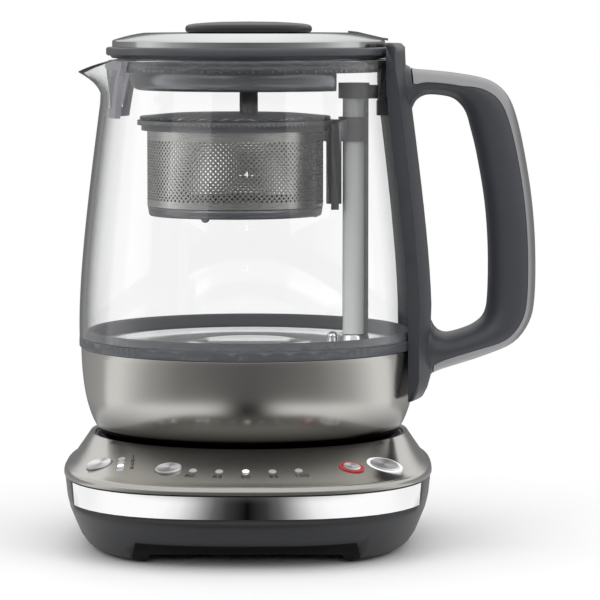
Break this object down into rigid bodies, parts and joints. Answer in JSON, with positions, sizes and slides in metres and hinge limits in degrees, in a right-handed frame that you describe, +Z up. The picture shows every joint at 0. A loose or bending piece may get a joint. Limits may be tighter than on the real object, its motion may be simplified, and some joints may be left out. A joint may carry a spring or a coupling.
{
  "type": "automatic tea maker",
  "caption": "Glass jug tea maker with a lidded infuser basket that a hidden drive lowers on a post, on a powered base with press buttons and lights.",
  "frame": {"origin": "on the table under the middle of the whole outline", "axes": "+Z up, -Y front with the buttons, +X handle, -X spout"},
  "size_m": [0.2078, 0.189, 0.2274],
  "materials": {
    "base_charcoal": "fine spark texture",
    "soft_rubber": "matte",
    "seal_rubber": "satin",
    "bright_band": "mirror polished",
    "warm_grey_metal": "satin metallic",
    "jug_metal": "polished, smoked",
    "black_plastic": "satin",
    "contact_brass": "bright",
    "board_green": "satin",
    "switch_black": "matte",
    "light_window": "clear, glossy",
    "ring_red": "lit red",
    "ring_white": "lit white",
    "button_metal": "spun",
    "jug_glass": "clear",
    "grey_plastic": "satin",
    "stainless": "brushed",
    "handle_grey": "satin",
    "trim_metal": "satin metallic",
    "frosted_plastic": "frosted",
    "magnet_metal": "dull",
    "knob_black": "satin",
    "gear_plastic": "satin"
  },
  "bodies": {
    "power_base": {"base_housing": "base_charcoal", "bottom_cover": "base_charcoal", "rubber_pads": "soft_rubber", "chrome_band": "bright_band", "top_shell": "warm_grey_metal", "seat_dish": "black_plastic", "power_connector": "black_plastic", "connector_contacts": "contact_brass", "control_board": "board_green", "tact_switches": "switch_black", "lights": "light_window", "warm_ring": "ring_red", "start_ring": "ring_white", "cord_inlet": "soft_rubber", "power_board": "board_green"},
    "strength_key": {"strength_button": "button_metal"},
    "select_key": {"select_button": "button_metal"},
    "warm_key": {"warm_button": "button_metal"},
    "start_key": {"start_button": "button_metal"},
    "socket": {"jug_socket": "black_plastic"},
    "jug": {"glass_jug": "jug_glass", "collar_ring": "grey_plastic", "metal_shell": "jug_metal", "jug_bottom": "black_plastic", "floor_plate": "stainless", "floor_seal": "seal_rubber", "heating_element": "magnet_metal", "temperature_probe": "stainless", "post_tube": "stainless", "post_rail": "grey_plastic", "post_foot": "grey_plastic", "post_clamp": "grey_plastic", "neck_bracket": "grey_plastic", "handle_spine": "handle_grey", "handle_grip": "handle_grey", "handle_trim": "trim_metal", "filter_frame": "frosted_plastic", "filter_mesh": "stainless", "drive_motor": "magnet_metal", "gear_bracket": "grey_plastic"},
    "lid": {"lid_knob": "knob_black", "lid_cover": "stainless", "lid_flange": "grey_plastic", "lid_plug": "frosted_plastic", "lid_seal": "seal_rubber", "lid_tab": "stainless"},
    "basket": {"basket_wall": "stainless", "basket_carrier": "grey_plastic", "basket_ring": "grey_plastic", "basket_mesh": "stainless", "basket_magnets": "magnet_metal"},
    "basket_cover": {"basket_lid": "grey_plastic"},
    "carriage": {"magnet_carriage": "magnet_metal"},
    "screw": {"lead_screw": "stainless", "screw_gear": "gear_plastic"},
    "pinion": {"motor_pinion": "gear_plastic"}
  },
  "joints": [
    {"name": "strength_press", "type": "slide", "parent": "power_base", "child": "strength_key", "axis": [0.2197, 0.2331, -0.9473], "range_m": [0, 0.0006], "stiffness_N_per_m": 300},
    {"name": "select_press", "type": "slide", "parent": "power_base", "child": "select_key", "axis": [0.0863, 0.2346, -0.9683], "range_m": [0, 0.0006], "stiffness_N_per_m": 300},
    {"name": "warm_press", "type": "slide", "parent": "power_base", "child": "warm_key", "axis": [-0.1223, 0.2271, -0.9662], "range_m": [0, 0.0006], "stiffness_N_per_m": 300},
    {"name": "start_press", "type": "slide", "parent": "power_base", "child": "start_key", "axis": [-0.1876, 0.2292, -0.9551], "range_m": [0, 0.0006], "stiffness_N_per_m": 300},
    {"name": "jug_lift", "type": "slide", "parent": "power_base", "child": "socket", "axis": [0, 0, 1], "range_m": [0, 0.1]},
    {"name": "jug_turn", "type": "hinge", "parent": "socket", "child": "jug", "pos_m": [-0.0234, 0.0175, 0.05], "axis": [0, 0, 1], "continuous": true},
    {"name": "lid_lift", "type": "slide", "parent": "jug", "child": "lid", "axis": [0, 0, 1], "range_m": [0, 0.08]},
    {"name": "basket_travel", "type": "slide", "parent": "jug", "child": "basket", "axis": [0, 0, 1], "range_m": [-0.05, 0]},
    {"name": "basket_lid_turn", "type": "hinge", "parent": "basket", "child": "basket_cover", "pos_m": [-0.0294, 0.0175, 0.185], "axis": [0, 0, 1], "continuous": true},
    {"name": "carriage_travel", "type": "slide", "parent": "jug", "child": "carriage", "axis": [0, 0, 1], "range_m": [-0.05, 0]},
    {"name": "screw_spin", "type": "hinge", "parent": "jug", "child": "screw", "pos_m": [0.0232, 0.0175, 0.07], "axis": [0, 0, 1], "range_deg": [0, 2251]},
    {"name": "pinion_spin", "type": "hinge", "parent": "jug", "child": "pinion", "pos_m": [0.0088, 0.0175, 0.07], "axis": [0, 0, 1], "range_deg": [-4502, 0]}
  ],
  "couplings": [
    {"joint": "carriage_travel", "follows": "basket_travel", "ratio": 1},
    {"joint": "screw_spin", "follows": "basket_travel", "rad_per_m": -785.4},
    {"joint": "pinion_spin", "follows": "basket_travel", "rad_per_m": 1570.8}
  ]
}
